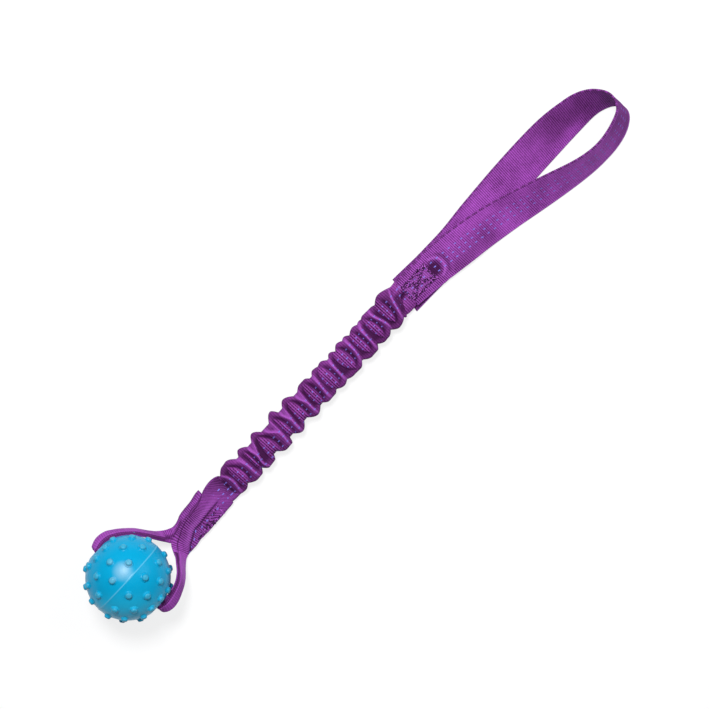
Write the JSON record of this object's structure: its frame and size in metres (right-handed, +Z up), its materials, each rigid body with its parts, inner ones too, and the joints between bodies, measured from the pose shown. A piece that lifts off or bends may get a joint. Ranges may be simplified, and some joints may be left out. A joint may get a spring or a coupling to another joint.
{
  "type": "bungee tug toy",
  "caption": "Tug toy with a nubbed rubber ball on a tape strap, a gathered elastic tape sleeve and a tape hand loop, lying flat.",
  "frame": {"origin": "centre of the toy's outline as it lies on the ground, at ground level", "axes": "+X from the ball to the hand loop along the gathered sleeve, +Z up from the ground, Y along the ball's bore"},
  "size_m": [0.4752, 0.0784, 0.0565],
  "materials": {
    "turquoise_rubber": "satin moulded rubber with a fine parting bead",
    "purple_tape": "satin woven polyester tape with fine cross ribs, a beaded selvedge and three rows of short lilac dashes on its outer face",
    "white_elastic": "braided flat elastic, matt",
    "purple_thread": "twisted polyester sewing thread, satin"
  },
  "bodies": {
    "hand_loop": {"handle_loop": "purple_tape"},
    "handle_seam": {"handle_front_layer": "purple_tape", "handle_back_layer": "purple_tape", "handle_box_stitch": "purple_thread"},
    "bungee": {"bungee_sleeve": "purple_tape", "bungee_core": "white_elastic"},
    "ball_seam": {"strap_front_layer": "purple_tape", "strap_back_layer": "purple_tape", "strap_box_stitch": "purple_thread"},
    "strap": {"strap_loop": "purple_tape"},
    "ball": {"ball": "turquoise_rubber"}
  },
  "joints": [
    {"name": "handle_fold", "type": "hinge", "parent": "hand_loop", "child": "handle_seam", "pos_m": [0.07286, -0.00267, 0.00155], "axis": [0, 1, 0], "range_deg": [-90, 90]},
    {"name": "bungee_swing", "type": "hinge", "parent": "handle_seam", "child": "bungee", "pos_m": [0.04636, -0.00267, 0.0033], "axis": [0, 0, 1], "range_deg": [-45, 45]},
    {"name": "bungee_stretch", "type": "slide", "parent": "bungee", "child": "ball_seam", "axis": [-1, 0, 0], "range_m": [0, 0.12], "stiffness_N_per_m": 120, "deforming": ["bungee_sleeve", "bungee_core"]},
    {"name": "strap_fold", "type": "hinge", "parent": "ball_seam", "child": "strap", "pos_m": [-0.16614, -0.00267, 0.00155], "axis": [0, 1, 0], "range_deg": [-90, 90]},
    {"name": "ball_spin", "type": "hinge", "parent": "strap", "child": "ball", "pos_m": [-0.20914, 0.00463, 0.02876], "axis": [0, 1, 0], "continuous": true}
  ]
}
